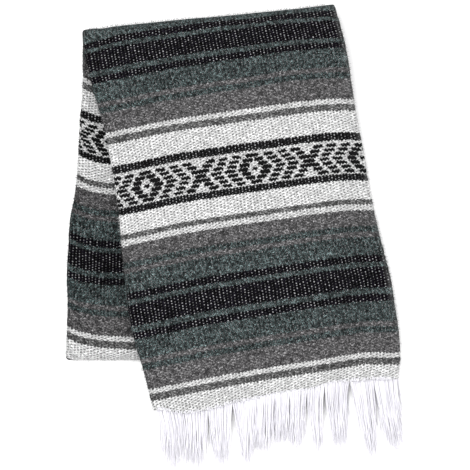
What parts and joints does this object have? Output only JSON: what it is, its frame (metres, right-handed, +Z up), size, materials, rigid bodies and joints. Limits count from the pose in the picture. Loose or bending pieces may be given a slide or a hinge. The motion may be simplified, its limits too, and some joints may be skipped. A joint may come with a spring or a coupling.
{
  "type": "mexican serape",
  "caption": "Woven wool serape blanket with stripes, diamond bands and fringed ends, folded into a long strip and laid flat.",
  "frame": {"origin": "middle of the footprint, on the surface that the folded serape lies on", "axes": "+Z up, +Y towards the top fold, away from the fringe, +X to the right seen from above"},
  "size_m": [0.4262, 0.573, 0.0381],
  "materials": {
    "front_cloth": "coarse woven wool stripes, grey green, charcoal, warm grey and white, with a diamond band",
    "back_cloth": "the same striped weave on the back run and the underside",
    "inner_cloth": "the same striped weave at the folded and selvedge edges",
    "fringe_yarn": "loose white warp yarn"
  },
  "bodies": {
    "root": {"front_panel": "front_cloth", "back_panel": "back_cloth", "hidden_layers": "inner_cloth", "front_fringe": "fringe_yarn", "lower_fringe": "fringe_yarn"}
  },
  "joints": []
}
